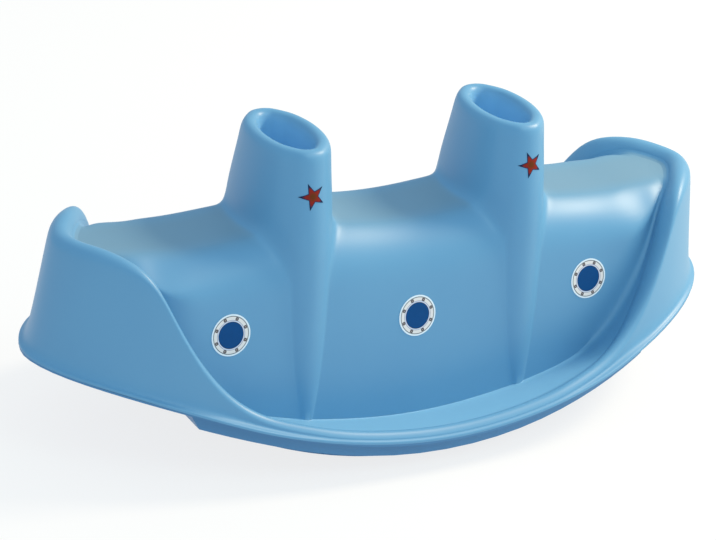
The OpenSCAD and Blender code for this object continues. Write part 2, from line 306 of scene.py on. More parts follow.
    def rim_z(self, x: float) -> float:
        """Height of the rolled rim's crest.

        Args:
            x: place along the boat.

        Returns:
            The height.
        """
        start, end = RIM_SPAN
        climb = max(0.0, (abs(x) - start) / (end - start)) ** self.sweep_power
        rise = self.rim_low + (self.rim_high - self.rim_low) * climb
        return self.lip_z(x) + soft_min(rise, self.rim_high, self.sweep_blend) - self.tip_drop.at(x)

    def seat_y(self, x: float) -> float:
        """Half width of the seat's pointed end.

        Args:
            x: place along the boat.

        Returns:
            The half width, 0 beyond the tip.
        """
        share = max(0.0, (abs(x) - self.point_start) / (self.point_tip - self.point_start))
        width = max(0.0, 1 - share ** self.point_fullness)
        return self.bench_y.high * width ** (1 / self.point_fullness)

    def seat_x(self, y: float) -> float:
        """Place along the boat where the seat's pointed end has the half width y."""
        share = (1 - (abs(y) / self.bench_y.high) ** self.point_fullness) ** (1 / self.point_fullness)
        return mix(self.point_start, self.point_tip, share)

    def seat_z(self, x: float) -> float:
        """Height of the seat, dished between the funnels and outside each of them.

        Args:
            x: place along the boat.

        Returns:
            The height.
        """
        near = self.funnel_place - self.funnel_half_x
        far = self.funnel_place + self.funnel_half_x
        if abs(x) < self.funnel_place:
            return self.seat_height + self.seat_dish * min(1.0, abs(x) / near) ** 2
        share = 1 - (abs(x) - far) / self.climb_reach
        climb = self.seat_climb * min(1.0, max(0.0, share)) ** 2
        return self.seat_height + climb + self.seat_lift.at(x)

    def well_z(self, x: float) -> float:
        """Foot of the bench side at x."""
        floor = self.rim_z(x) - self.well_depth.at(x)
        return soft_min(floor, self.seat_z(x) + self.seat_rise, self.well_blend)

    def funnel_x(self, z: float) -> float:
        """Half size of a funnel along the boat at height z."""
        return self.funnel_half_x + (self.seat_height - z) * math.tan(self.funnel_draft_x)

    def funnel_y(self, z: float) -> float:
        """Half size of a funnel across the boat at height z."""
        draft = self.funnel_draft_y if z > self.seat_height else self.rib_draft
        return self.funnel_half_y + (self.seat_height - z) * math.tan(draft)

    def side_ray(self, x: float, side: int) -> Ray:
        """Ray straight across the boat from the lip at x.

        Args:
            x: place along the boat.
            side: sign of Y.

        Returns:
            The ray to the boat's middle line.
        """
        y = self.lip_y(x)
        cosine = max(self.least_cosine, -self.lip_normal(x).y)
        start = Vector((x, side * y))
        return Ray(x, start, Vector((0, -side)), y, 1 / cosine, True)

    def end_ray(self, x: float, side: int, target: Vector) -> Ray:
        """Ray from the lip round an end to a point of the gutter at the seat's end.

        Args:
            x: signed place of the lip point along the boat.
            side: sign of Y, or 0 on the middle line.
            target: point of the gutter, in plan.

        Returns:
            The ray, which reaches as far as the gutter.
        """
        start = Vector((x, side * self.lip_y(x)))
        inward = (target - start).normalized()
        normal = self.lip_normal(x)
        normal = Vector((math.copysign(1, x) * normal.x, side * normal.y))
        cosine = max(self.least_cosine, normal.dot(inward))
        return Ray(x, start, inward, (target - start).length, 1 / cosine, False)

    def near(self, corner: Vector, other: Vector, distance: float) -> Vector:
        """Point at a distance from a corner towards another, or nearer where the two are close.

        Args:
            corner: corner that is rounded.
            other: next corner.
            distance: wanted distance from the first.

        Returns:
            The point between them.
        """
        length = (other - corner).length
        return corner + (other - corner) * (min(distance, self.round_share * length) / max(length, TINY))

    def bench_corners(self, ray: Ray, base: Vector) -> tuple[Vector, Vector, Vector]:
        """Corners of the bench in a section, as distance in from the lip and height.

        Args:
            ray: where the section is taken.
            base: foot of the crease inside the rim.

        Returns:
            The bench's foot, its edge, and the end of that edge's rounding on the seat.
        """
        x, seat = ray.x, self.seat_z(ray.x)
        if ray.on_side:
            foot_z = self.well_z(x)
            plain_y = min(self.foot_y.at(x), self.seat_y(x))
            foot_y = plain_y + (self.seat_height - foot_z) * math.tan(self.bench_draft)
            foot = Vector((max(ray.reach - foot_y, base.x + self.floor_least), foot_z))
            bench = Vector((max(ray.reach - self.bench_y.at(x), foot.x + self.edge_least), seat))
            edge = Vector((bench.x + self.bench_round.at(x), seat))
            fade = self.fade.at(x)
        else:
            foot = Vector((ray.reach, seat + self.seat_rise))
            bench, edge, fade = foot, foot, 1.0
        bench = bench.lerp(Vector((foot.x + self.floor_least, (foot.y + seat) / 2)), fade)
        edge = edge.lerp(Vector((foot.x + self.edge_least, seat)), fade)
        return foot, bench, edge

    def section(self, ray: Ray) -> list[Vector]:
        """Cage points of the hull's section along a ray.

        Args:
            ray: where the section is taken.

        Returns:
            One point for each Rail: distance in from the lip, and height.
        """
        x, k = ray.x, ray.stretch
        under = self.lip_edge_z(x)
        lip_top = under + self.wall
        lip_width = self.lip_width.at(x)
        crest = self.rim_z(x)
        height = crest - lip_top
        slope = math.tan(self.draft.at(x))
        radius = self.rim_radius.at(x)
        cage_radius = radius * self.roll_lift

        def flank(z: float) -> Vector:
            """Point of the flank at height z."""
            return Vector((k * (lip_width + (z - lip_top) * slope), z))

        roll_middle = flank(crest).x + k * radius

        def roll(turn: float) -> Vector:
            """Point over the roll at a turn from its outer side."""
            z = crest - radius + cage_radius * math.sin(turn)
            return Vector((roll_middle - k * cage_radius * math.cos(turn), z))

        crest_in = roll_middle + k * radius
        crease = crest - self.bead_share * radius
        bead = Vector((crest_in + k * self.bead_step, crease))
        base = Vector((crest_in + k * self.base_step, crease - self.base_drop))
        foot, bench, edge = self.bench_corners(ray, base)
        foot_round = self.well_round.at(x)
        foot_wall = self.near(foot, bench, foot_round)
        bench_top = self.near(bench, foot, self.bench_fall.at(x))
        out_low, out_top, in_top, in_low = (roll(turn) for turn in ROLL_TURNS)
        flank_foot = flank(lip_top + min(self.flare_height, self.flare_share * height))
        flank_top = flank(max(crest - self.flank_drop, (flank_foot.y + out_low.y) / 2))
        flat_z = lip_top + min(self.flat_rise, self.flat_share * height)
        points = {
            Rail.SEAT_EDGE: edge,
            Rail.BENCH_TOP: bench_top,
            Rail.BENCH_HIGH: bench_top.lerp(foot_wall, 0.25),
            Rail.BENCH_MID: bench_top.lerp(foot_wall, 0.5),
            Rail.BENCH_LOW: bench_top.lerp(foot_wall, 0.75),
            Rail.FOOT_WALL: foot_wall,
            Rail.FOOT_FLOOR: self.near(foot, base, foot_round),
            Rail.FLOOR_OUT: self.near(base, foot, self.corner_round),
            Rail.BEAD_FOOT: self.near(base, bead, self.corner_round),
            Rail.BEAD: bead,
            Rail.ROLL_IN_LOW: in_low,
            Rail.ROLL_IN_TOP: in_top,
            Rail.ROLL_OUT_TOP: out_top,
            Rail.ROLL_OUT_LOW: out_low,
            Rail.FLANK_TOP: flank_top,
            Rail.FLANK_FOOT: flank_foot,
            Rail.LIP_FLAT: Vector((k * lip_width * self.flat_place, flat_z)),
            Rail.LIP_EDGE_TOP: Vector((k * self.lip_edge, lip_top)),
            Rail.LIP_EDGE: Vector((0, lip_top - self.lip_edge)),
            Rail.LIP_UNDER: Vector((0, under)),
        }
        return [points[rail] for rail in Rail]


def apply_modifier(piece: bpy.types.Object, kind: str, **settings: Any) -> None:
    """Adds a modifier to the active piece and applies it.

    Args:
        piece: object that is changed.
        kind: type of the modifier.
        settings: its properties.
    """
    modifier = piece.modifiers.new(kind.lower(), kind)
    for key, value in settings.items():
        setattr(modifier, key, value)
    bpy.ops.object.modifier_apply(modifier=modifier.name)


class Cage:
    """Mesh under edit whose vertices know their column, row and rail."""

    def __init__(self, name: str, columns: int, rows: int) -> None:
        """Adds a flat grid and numbers its vertices from the middle.

        Args:
            name: name of the object.
            columns: columns of faces on each side of the middle.
            rows: rows of faces on each side of the middle.
        """
        bpy.ops.object.select_all(action="DESELECT")
        bpy.ops.mesh.primitive_grid_add(x_subdivisions=2 * columns, y_subdivisions=2 * rows, size=2)
        self.object = bpy.context.active_object
        self.object.name = name
        self.object.data.name = name
        bpy.ops.object.mode_set(mode="EDIT")
        with self.editing() as bm:
            for key in KEYS:
                bm.verts.layers.int.new(key)
            column, row, _ = self.layers(bm)
            for v in bm.verts:
                v[column] = round(v.co.x * columns)
                v[row] = round(v.co.y * rows)

    @contextmanager
    def editing(self) -> Iterator[bmesh.types.BMesh]:
        """Opens the mesh under edit and shows what was changed."""
        yield bmesh.from_edit_mesh(self.object.data)
        bmesh.update_edit_mesh(self.object.data)

    @staticmethod
    def layers(bm: bmesh.types.BMesh) -> list[Any]:
        """Layers that hold a vertex's column, row and rail."""
        return [bm.verts.layers.int[key] for key in KEYS]

    def place(self, where: Callable[[int, int, int], Vector], only_selected: bool = True) -> None:
        """Moves vertices to their places.

        Args:
            where: gives a point from a column, a row and a rail.
            only_selected: moves only the selected vertices.
        """
        with self.editing() as bm:
            layers = self.layers(bm)
            for v in bm.verts:
                if v.select or not only_selected:
                    v.co = where(*(v[layer] for layer in layers))

    def select_border(self) -> None:
        """Selects the open border of the mesh."""
        bpy.ops.mesh.select_mode(type="EDGE")
        bpy.ops.mesh.select_all(action="DESELECT")
        with self.editing() as bm:
            for e in bm.edges:
                e.select_set(e.is_boundary)

    def select_faces(self, wanted: Test) -> None:
        """Selects the faces whose vertices are all wanted.

        Args:
            wanted: says whether a column, row and rail belong.
        """
        bpy.ops.mesh.select_mode(type="FACE")
        bpy.ops.mesh.select_all(action="DESELECT")
        with self.editing() as bm:
            layers = self.layers(bm)
            for f in bm.faces:
                f.select_set(all(wanted(*(v[layer] for layer in layers)) for v in f.verts))

    def crease_edges(self, wanted: Test, sharpness: float, along: bool = False) -> None:
        """Keeps the edges whose two ends are wanted crisper than the rest.

        Args:
            wanted: says whether a column, row and rail belong.
            sharpness: crease of these edges, from 0 to 1.
            along: takes the edges that run along a rail and not those that cross from one to the next.
        """
        with self.editing() as bm:
            layers = self.layers(bm)
            floats = bm.edges.layers.float
            crease = floats.get("crease_edge") or floats.new("crease_edge")
            for e in bm.edges:
                first, last = ([v[layer] for layer in layers] for v in e.verts)
                on_rail = first[-1] == last[-1]
                if on_rail == along and wanted(*first) and wanted(*last):
                    e[crease] = sharpness

    def extrude_border(self, rail: int) -> None:
        """Extrudes the selected border and numbers the new line.

        Args:
            rail: number of the new line.
        """
        bpy.ops.mesh.extrude_region()
        with self.editing() as bm:
            layer = self.layers(bm)[-1]
            for v in bm.verts:
                if v.select:
                    v[layer] = rail

    def finish(self, level: int, thickness: float) -> bpy.types.Object:
        """Smooths the cage, gives it its wall and drops the numbers.

        Args:
            level: level of subdivision.
            thickness: thickness of the wall, inwards.

        Returns:
            The finished object.
        """
        bpy.ops.mesh.select_all(action="SELECT")
        bpy.ops.object.mode_set(mode="OBJECT")
        attributes = self.object.data.attributes
        for key in KEYS:
            attributes.remove(attributes[key])
        apply_modifier(self.object, "SUBSURF", levels=level, render_levels=level)
        apply_modifier(self.object, "SOLIDIFY", thickness=thickness, offset=-1, use_even_offset=True)
        bpy.ops.object.shade_smooth_by_angle(angle=SHARP_ANGLE)
        return self.object


@dataclass
class HullShell:
    """Upper moulding: lip, flanks, rim, foot wells, bench and funnels in one skin."""

    form: HullForm = field(default_factory=HullForm)
    # Columns and rows of the seat's cage on each side of the middle, and level of subdivision
    columns: int = 16
    rows: int = 5
    level: int = 2
    # How much thinner the skin is than the moulding's wall
    wall_play: float = 0.0006
    # Columns of a funnel's inner and outer edge, counted from the boat's middle
    funnel_first: int = 3
    funnel_last: int = 7
    # Shares of the way from the fillet round a funnel to the end column
    outer_shares: tuple[float, ...] = (0.17, 0.32, 0.45, 0.57, 0.68, 0.79, 0.895, 1.0)
    # Place of a funnel's inner columns against its half width
    inner_share: float = 0.55
    # Reach of a funnel's fillet on the seat and its height above the seat
    seat_fillet: float = 0.030
    funnel_fillet: float = 0.028
    # Half width of a funnel's foot and reach of its fillet on each rail
    foot_spread: dict[int, tuple[float, float]] = field(
        default_factory=lambda: {
            Rail.SEAT_EDGE: (0.010, 0.018),
            Rail.BENCH_TOP: (0.010, 0.008),
            Rail.BENCH_HIGH: (0.010, 0.007),
            Rail.BENCH_MID: (0.009, 0.006),
            Rail.BENCH_LOW: (0.006, 0.006),
            Rail.FOOT_WALL: (0.004, 0.008),
            Rail.FOOT_FLOOR: (0.010, 0.016),
            Rail.FLOOR_OUT: (0.016, 0.030),
        }
    )
    # The same on the rails of the rim and the lip
    lip_spread: tuple[float, float] = (0.020, 0.038)
    # Passes that settle a column on a rail
    passes: int = 3
    # Crispness of the lines where the funnels' ribs meet the bench's sides
    rib_crease: float = 0.75
    # Crispness of the line at the foot of the bench's sides, and the last column where it is crisp
    foot_crease: float = 1.0
    foot_last: int = 11
    # Turn on a funnel's ellipse of its last row on the seat, and of its line on the bench's side
    seat_turn: float = math.radians(45)
    bench_turn: float = math.radians(67)
    # Half height of the roll round a funnel's mouth, and heights of the rings that keep its wall straight
    mouth_roll: float = 0.011
    wall_rings: tuple[float, ...] = (0.352, 0.392)
    # Rings of a pocket: depth of the first, and heights above the floor and insets of the others
    pocket_lead: float = 0.028
    pocket_rings: tuple[tuple[float, float], ...] = ((0.016, 0.0), (0.002, 0.001), (0.0, 0.007))

    @property
    def funnel_middle(self) -> int:
        """Column through the middle of a funnel."""
        return (self.funnel_first + self.funnel_last) // 2

    def cone_width(self, y: float, z: float) -> float:
        """Half width along the boat at which a funnel meets the point at y and z."""
        share = min(1.0, abs(y) / self.form.funnel_y(z))
        return self.form.funnel_x(z) * math.sqrt(1 - share * share)

    def column_x(self, column: int, width: float, fillet: float, end: float) -> float:
        """Place of a column along the boat, bent round the funnel.

        Args:
            column: number of the column from the middle.
            width: half width of the funnel's foot there.
            fillet: reach of its fillet.
            end: place of the last column.

        Returns:
            The place, with the column's sign.
        """
        form, n = self.form, abs(column)
        before = form.funnel_place - width - fillet
        after = form.funnel_place + width + fillet
        if n < self.funnel_first:
            x = before * n / (self.funnel_first - 1)
        elif n <= self.funnel_last:
            step = n - self.funnel_middle
            share = (0.0, self.inner_share, 1.0)[abs(step)]
            x = form.funnel_place + math.copysign(width * share, step)
        elif n == self.funnel_last + 1:
            x = after
        else:
            x = mix(after, end, self.outer_shares[n - self.funnel_last - 2])
        return math.copysign(x, column)

    def on_funnel(self, column: int) -> bool:
        """True for the columns of a funnel's foot."""
        return self.funnel_first <= abs(column) <= self.funnel_last

    def side_point(self, column: int, side: int, rail: int) -> Vector:
        """Cage point on a flank.

        Args:
            column: number of the column.
            side: sign of Y.
            rail: number of the rail.

        Returns:
            The point in space.
        """
        form = self.form
        least, fillet = self.foot_spread.get(rail, self.lip_spread)
        on_bench = Rail.SEAT_EDGE <= rail <= Rail.FOOT_WALL
        width, x = least, self.column_x(column, least, fillet, form.fan_x)
        for _ in range(self.passes):
            point = form.section(form.side_ray(x, side))[rail]
            y = form.lip_y(x) - point.x
            if on_bench:
                width = max(least, self.cone_width(y, point.y))
            x = self.column_x(column, width, fillet, form.fan_x)
        if on_bench and self.on_funnel(column):
            offset = abs(abs(x) - form.funnel_place) / form.funnel_x(point.y)
            cone = form.funnel_y(point.y) * form.funnel_lift_y * math.sqrt(max(0.0, 1 - offset * offset))
            inner = self.funnel_first < abs(column) < self.funnel_last
            y = max(y, cone) if inner else y
        return Vector((x, side * y, point.y))

    def end_point(self, row: int, end: int, rail: int) -> Vector:
        """Cage point round an end.

        Args:
            row: number of the row.
            end: sign of X.
            rail: number of the rail.

        Returns:
            The point in space.
        """
        form = self.form
        share = row / self.rows
        x = end * mix(form.fan_x, form.half_length, math.cos(math.pi / 2 * share))
        side = (row > 0) - (row < 0)
        y = form.seat_y(form.fan_x) * share
        ray = form.end_ray(x, side, Vector((end * form.seat_x(y), y)))
        point = form.section(ray)[rail]
        plan = ray.start + ray.inward * point.x
        return Vector((plan.x, plan.y, point.y))

    def seat_point(self, column: int, row: int) -> Vector:
        """Cage point on the seat.

        Args:
            column: number of the column.
            row: number of the row.

        Returns:
            The point in space.
        """
        form = self.form
        share = row / self.rows
        if abs(row) == self.rows:
            return self.side_point(column, row // self.rows, Rail.SEAT_EDGE)
        if abs(column) == self.columns:
            return self.end_point(row, column // self.columns, Rail.SEAT_EDGE)
        edge = self.side_point(column, 1, Rail.SEAT_EDGE)
        y = edge.y * share
        width = self.cone_width(y, form.seat_height)
        end = self.end_point(row, 1, Rail.SEAT_EDGE).x
        x = self.column_x(column, width, self.seat_fillet, end)
        return Vector((x, y, form.seat_z(x)))

    def hull_point(self, column: int, row: int, rail: int) -> Vector:
        """Cage point of the skin without its funnels.

        Args:
            column: number of the column.
            row: number of the row.
            rail: number of the rail.

        Returns:
            The point in space.
        """
        if rail == Rail.SEAT_EDGE:
            return self.seat_point(column, row)
        if abs(row) == self.rows:
            return self.side_point(column, row // self.rows, rail)
        return self.end_point(row, column // self.columns, rail)

    def funnel_share(self, column: int, row: int, rail: int) -> tuple[Vector, float]:
        """Place of a funnel's cage point on its ellipse.

        Args:
            column: number of the column.
            row: number of the row.
            rail: number of the rail.

        Returns:
            The place on a unit circle, or inside it for the pocket's floor, and the foot's height.
        """
        edge = self.funnel_first if abs(column) < self.funnel_middle else self.funnel_last
        foot = self.hull_point(int(math.copysign(edge, column)), row, rail)
        on_bench = rail == Rail.BENCH_TOP
        turn = math.copysign(self.bench_turn, row) if on_bench else self.seat_turn * row / self.rows
        across = math.sin(turn)
        along = math.copysign(math.cos(turn), abs(foot.x) - self.form.funnel_place)
        if abs(column) not in (self.funnel_first, self.funnel_last):
            along *= 0.0 if abs(column) == self.funnel_middle else self.inner_share
            if on_bench:
                across = math.copysign(math.sqrt(1 - along * along), across)
        return Vector((along, across)), foot.z

    def raise_funnels(self, cage: Cage) -> None:
        """Extrudes both funnels from the seat, over their rolled rims and down into their pockets.

        Args:
            cage: the hull's cage, with its skin in place.
        """
        form = self.form
        top = form.funnel_top
        roll_z = top - self.mouth_roll
        outer = Vector((form.funnel_x(roll_z), form.funnel_y(roll_z)))
        mouth = Vector((form.mouth_half_x, form.mouth_half_y))
        middle, radius = (outer + mouth) / 2, (outer - mouth) / 2
        lift = Vector((form.funnel_lift_x, form.funnel_lift_y))
        taper = math.tan(form.funnel_draft_x)

        def wall_ring(z: float) -> tuple[Vector, float]:
            """Half sizes and height of a ring of the wall."""
            return Vector((form.funnel_x(z), form.funnel_y(z))), z

        def roll_ring(turn: float) -> tuple[Vector, float]:
            """The same for a ring over the rolled rim, at a turn from its outer side."""
            reach = form.roll_lift * math.cos(turn)
            return middle + radius * reach, roll_z + self.mouth_roll * form.roll_lift * math.sin(turn)

        def pocket_ring(depth: float, inset: float) -> tuple[Vector, float]:
            """The same for a ring of the pocket."""
            shrink = taper * depth + inset
            return mouth - Vector((shrink, shrink)), top - depth

        rings = [None, *map(wall_ring, self.wall_rings), *map(roll_ring, ROLL_TURNS)]
        rings += [pocket_ring(self.pocket_lead, 0.0)]
        rings += [pocket_ring(form.pocket_depth - rise, inset) for rise, inset in self.pocket_rings]
        for ring in rings:
            bpy.ops.mesh.extrude_region()

            def where(column: int, row: int, rail: int) -> Vector:
                """Place of a cage point on the new ring.

                Args:
                    column: number of the column.
                    row: number of the row.
                    rail: number of the rail.

                Returns:
                    The point in space.
                """
                share, foot_z = self.funnel_share(column, row, rail)
                size, z = ring if ring else wall_ring(foot_z + self.funnel_fillet)
                x = form.funnel_place + share.x * size.x * lift.x
                return Vector((math.copysign(x, column), share.y * size.y * lift.y, z))

            cage.place(where)

    def build(self) -> bpy.types.Object:
        """Models the hull.

        Returns:
            The hull's object.
        """
        cage = Cage("hull_skin", self.columns, self.rows)
        cage.place(self.hull_point, only_selected=False)
        cage.select_border()
        for rail in list(Rail)[1:]:
            cage.extrude_border(rail)
            cage.place(self.hull_point)

        def on_rib(column: int, row: int, rail: int) -> bool:
            """True where a funnel's rib meets the bench's side."""
            edges = (self.funnel_first, self.funnel_last)
            return abs(column) in edges and Rail.BENCH_TOP <= rail <= Rail.FOOT_WALL

        def on_foot(column: int, row: int, rail: int) -> bool:
            """True at the crisp foot of the bench's side."""
            return abs(column) <= self.foot_last and rail == Rail.FOOT_WALL

        cage.crease_edges(on_rib, self.rib_crease)
        cage.crease_edges(on_foot, self.foot_crease, along=True)
        cage.select_faces(lambda column, row, rail: rail <= Rail.BENCH_TOP and self.on_funnel(column))
        self.raise_funnels(cage)
        hull = cage.finish(self.level, self.form.wall - self.wall_play)
        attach(hull, BODY)
        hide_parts("hull_shell")
        dress(hull, MouldedPlastic().make())
        return hull


class Sock:
    """Output socket of a shader node, with arithmetic on values."""

    def __init__(self, shader: "Shader", socket: bpy.types.NodeSocket | None) -> None:
        """Keeps the socket and the shader that it belongs to."""
        self.shader = shader
        self.socket = socket

    def _math(self, operation: str, *values: Any) -> "Sock":
        """Math node with this socket among its values."""
        return self.shader.node("ShaderNodeMath", {"operation": operation}, *values)

    def __add__(self, other: Any) -> "Sock":
        """Sum."""
        return self._math("ADD", self, other)

    __radd__ = __add__

    def __sub__(self, other: Any) -> "Sock":
        """Difference."""
        return self._math("SUBTRACT", self, other)

    def __rsub__(self, other: Any) -> "Sock":
        """Difference, the other way round."""
        return self._math("SUBTRACT", other, self)

    def __mul__(self, other: Any) -> "Sock":
        """Product."""
        return self._math("MULTIPLY", self, other)

    __rmul__ = __mul__

    def power(self, exponent: float) -> "Sock":
        """Power."""
        return self._math("POWER", self, exponent)

    def root(self) -> "Sock":
        """Square root."""
        return self._math("SQRT", self)

    def angle(self, across: "Sock") -> "Sock":
        """Angle of the point whose height is this value."""
        return self._math("ARCTAN2", self, across)

    def fold(self, parts: int, start: float) -> "Sock":
        """Angle from the middle of the nearest of some equal parts of a turn.

        Args:
            parts: number of parts in a turn.
            start: middle of one part, in radians.

        Returns:
            The angle, from minus half a part to half a part.
        """
        width = math.tau / parts
        turns = (self - (start - width / 2)) * (1 / width)
        return (self._math("FRACT", turns) - 0.5) * width

    def sine(self) -> "Sock":
        """Sine."""
        return self._math("SINE", self)

    def cosine(self) -> "Sock":
        """Cosine."""
        return self._math("COSINE", self)

    def size(self) -> "Sock":
        """Value without its sign."""
        return self._math("ABSOLUTE", self)

    def step(self, low: float, high: float) -> "Sock":
        """Smooth change from 0 at low to 1 at high."""
        return self.shader.node(
            "ShaderNodeMapRange", {"interpolation_type": "SMOOTHSTEP"}, self, low, high, 0.0, 1.0
        )


class Shader:
    """Node tree of a material or a world under construction."""

    def __init__(self, owner: bpy.types.ID) -> None:
        """Empties the tree of its owner.

        Args:
            owner: material or world.
        """
        owner.use_nodes = True
        self.owner = owner
        self.tree = owner.node_tree
        self.tree.nodes.clear()

    @classmethod
    def material(cls, name: str) -> "Shader":
        """Starts an empty node material."""
        return cls(bpy.data.materials.new(name))

    def node(
        self, kind: str, settings: dict[str, Any], *values: Any, out: int | str = 0, **named: Any
    ) -> Sock:
        """Adds a node.

        Args:
            kind: type of the node.
            settings: properties that are set first.
            values: values or links of the first sockets, in order; None leaves one alone.
            out: output that is returned.
            named: values or links of sockets by name, with _ for a space.

        Returns:
            The chosen output.
        """
        node = self.tree.nodes.new(kind)
        for key, value in settings.items():
            setattr(node, key, value)
        pairs = [(node.inputs[i], v) for i, v in enumerate(values)]
        pairs += [(node.inputs[key.replace("_", " ")], v) for key, v in named.items()]
        for socket, value in pairs:
            if isinstance(value, Sock):
                self.tree.links.new(value.socket, socket)
            elif value is not None:
                socket.default_value = value
        return Sock(self, node.outputs[out] if node.outputs else None)

    def coordinates(self, output: str) -> Sock:
        """Texture coordinates of the given kind."""
        return self.node("ShaderNodeTexCoord", {}, out=output)

    def noise(self, where: Sock, scale: float, detail: float) -> Sock:
        """Noise value at a place."""
        return self.node("ShaderNodeTexNoise", {}, Vector=where, Scale=scale, Detail=detail)

    def blend(self, amount: Any, first: Any, second: Any) -> Sock:
        """Colour between two colours.

        Args:
            amount: share of the second colour.
            first: screen colour or link at 0.
            second: screen colour or link at 1.

        Returns:
            The mixed colour.
        """
        colours = [linear(c) if isinstance(c, str) else c for c in (first, second)]
        unused = [None] * 5
        return self.node("ShaderNodeMix", {"data_type": "RGBA"}, amount, *unused, *colours, out=2)

    def rays(self, *kinds: str) -> Sock:
        """1 for rays of the given kinds and 0 for others."""
        first, *others = (self.node("ShaderNodeLightPath", {}, out=f"Is {kind} Ray") for kind in kinds)
        return sum(others, first)

    def split(self, vector: Sock, axis: int) -> Sock:
        """One part of a vector, by the number of its axis."""
        return self.node("ShaderNodeSeparateXYZ", {}, vector, out=axis)

    def polar(self) -> tuple[Sock, Sock]:
        """Place on a sticker's print.

        Returns:
            The distance from its middle, 1 at its rim, and the angle there.
        """
        uv = self.coordinates("UV")
        across = (self.split(uv, 0) - 0.5) * 2.0
        upward = (self.split(uv, 1) - 0.5) * 2.0
        return (across * across + upward * upward).root(), upward.angle(across)

    def surface(self, **inputs: Any) -> bpy.types.Material:
        """Ends the material with a principled surface.

        Args:
            inputs: values or links of the surface's sockets, with _ for a space.

        Returns:
            The material.
        """
        shader = self.node("ShaderNodeBsdfPrincipled", {}, **inputs)
        self.node("ShaderNodeOutputMaterial", {}, shader)
        return self.owner


def linear(code: str) -> tuple[float, float, float, float]:
    """Linear colour of a screen colour written as six hex digits."""
    shades = [int(code[i:i + 2], 16) / 255 for i in (0, 2, 4)]
    return (*[c / 12.92 if c <= 0.04045 else ((c + 0.055) / 1.055) ** 2.4 for c in shades], 1.0)


@dataclass(frozen=True)
class MouldedPlastic:
    """Satin blue polyethylene with a faint mottle and a fine moulded grain.

    Noises are given by their scale and detail.
    """

    name: str = "moulded_blue"
    colour: str = "659dc4"
    deep: str = "5d96c0"
    roughness: float = 0.44
    ior: float = 1.5
    mottle: tuple[float, float] = (9.0, 4.0)
    mottle_roughness: float = 0.10
    grain: tuple[float, float] = (900.0, 2.0)
    grain_strength: float = 0.04
    grain_depth: float = 0.0004
    # Seat, rougher, with painted shade that makes it greyer: its heights, the way it faces and its distance
    # from the middle line
    seat_shade_colour: str = "6f93ac"
    seat_roughness: float = 0.56
    least_seat_shade: float = 0.75
    seat_floor: Limits = (0.272, 0.284)
    seat_ceiling: Limits = (0.304, 0.297)
    seat_facing: Limits = (0.70, 1.0)
    seat_side: Limits = (0.090, 0.020)
    # Pockets of the funnels, whose thin walls let some light through: that light is painted in as a paler
    # colour
    pocket_light_colour: str = "86c0ea"
    pocket_edge: Limits = (1.25, 0.75)
    pocket_floor: Limits = (0.318, 0.335)
    # Floors of the foot wells, made paler by painted light
    well_floor_light_colour: str = "7cb4d9"
    well_floor_edge: Limits = (0.84, 0.78)
    well_floor_facing: Limits = (0.80, 0.93)
    well_floor_height: Limits = (0.150, 0.090)

    def masks(self, s: Shader, place: Sock) -> tuple[Sock, Sock, Sock]:
        """Masks of the seat, the funnels' pockets and the foot wells' floors.

        Args:
            s: shader under construction.
            place: place on the boat.

        Returns:
            Three values that are 1 on these parts and 0 elsewhere.
        """
        form = HullForm()
        along, across = s.split(place, 0).size(), s.split(place, 1).size()
        height = s.split(place, 2)
        facing = s.split(s.node("ShaderNodeNewGeometry", {}, out="Normal"), 2)
        seat = height.step(*self.seat_floor) * height.step(*self.seat_ceiling)
        seat = seat * facing.step(*self.seat_facing) * across.step(*self.seat_side)
        mouth_x = (along - form.funnel_place) * (1 / form.mouth_half_x)
        mouth_y = across * (1 / form.mouth_half_y)
        pocket = (mouth_x * mouth_x + mouth_y * mouth_y).step(*self.pocket_edge)
        pocket = pocket * height.step(*self.pocket_floor)
        # Up-facing floors of the foot wells, which get painted light
        lip_x = (along * (1 / form.half_length)).power(form.end_fullness)
        lip_y = (across * (1 / form.half_width)).power(form.flank_fullness)
        well_floor = (lip_x + lip_y).step(*self.well_floor_edge) * facing.step(*self.well_floor_facing)
        return seat, pocket, well_floor * height.step(*self.well_floor_height)

    def make(self) -> bpy.types.Material:
        """Builds the finish.

        Returns:
            Its material.
        """
        s = Shader.material(self.name)
        place = s.coordinates("Object")
        mottle, grain = s.noise(place, *self.mottle), s.noise(place, *self.grain)
        seat, pocket, well_floor = self.masks(s, place)
        # Painted shade: the up-facing seat is blended towards a greyer colour, mottled by the noise
        seat_shade = seat * (self.least_seat_shade + mottle * (1 - self.least_seat_shade))
        colour = s.blend(mottle, self.deep, self.colour)
        # Painted light: the pockets of the funnels are blended towards a paler blue
        colour = s.blend(pocket, colour, self.pocket_light_colour)
        # Painted light: the up-facing floors of the foot wells are blended towards a paler blue
        colour = s.blend(well_floor, colour, self.well_floor_light_colour)
        colour = s.blend(seat_shade, colour, self.seat_shade_colour)
        roughness = self.roughness - self.mottle_roughness / 2 + mottle * self.mottle_roughness
        roughness = roughness + seat * (self.seat_roughness - self.roughness)
        bump = s.node(
            "ShaderNodeBump", {}, Strength=self.grain_strength, Distance=self.grain_depth, Height=grain
        )
        return s.surface(Base_Color=colour, Roughness=roughness, Normal=bump, IOR=self.ior)


@dataclass(frozen=True)
class PrintedFilm:
    """Satin film with a print whose ink is a little uneven."""

    name: str = "ink"
    ink: tuple[float, float] = (160.0, 3.0)
    roughness: float = 0.42
    ink_roughness: float = 0.10
    ior: float = 1.22

    def paint(self, s: Shader, ink: Sock) -> Sock:
        """Colour of the print.

        Args:
            s: shader under construction.
            ink: unevenness of the ink.

        Returns:
            The colour.
        """
        raise NotImplementedError

    def make(self) -> bpy.types.Material:
        """Builds the finish.

        Returns:
            Its material.
        """
        s = Shader.material(self.name)
        ink = s.noise(s.coordinates("Object"), *self.ink)
        roughness = self.roughness + ink * self.ink_roughness
        return s.surface(Base_Color=self.paint(s, ink), Roughness=roughness, IOR=self.ior)


